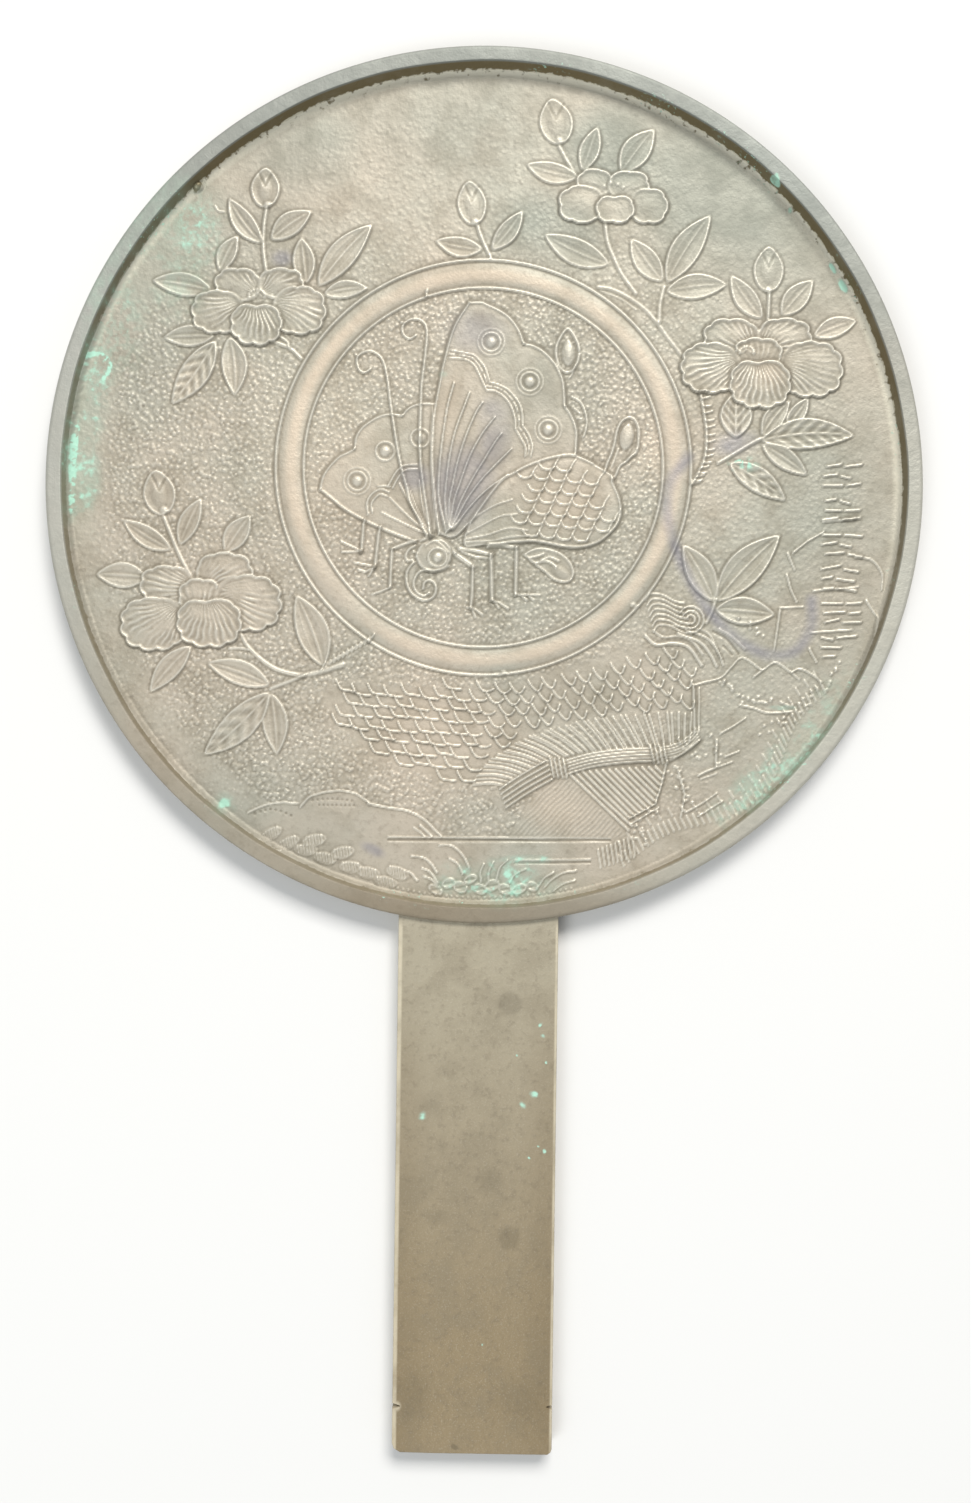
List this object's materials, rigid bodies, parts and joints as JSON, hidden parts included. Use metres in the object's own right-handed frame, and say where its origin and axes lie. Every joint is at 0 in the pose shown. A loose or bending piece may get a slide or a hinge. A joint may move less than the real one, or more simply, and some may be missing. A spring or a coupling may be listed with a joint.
{
  "type": "bronze hand mirror",
  "caption": "Cast bronze hand mirror: a round plate with a raised rim and a long flat handle, its back carved in low relief with a butterfly in a ring, flowers and a small landscape.",
  "frame": {"origin": "centre of the round disc, on the polished flat face that the mirror lies on", "axes": "+Y along the handle's line, away from the handle; +Z out of the carved back; +X to the right of the carving"},
  "size_m": [0.16, 0.257, 0.005],
  "materials": {
    "bronze": "aged cast bronze, olive brown, with patches of green corrosion"
  },
  "bodies": {
    "root": {"bronze_mirror": "bronze"}
  },
  "joints": []
}
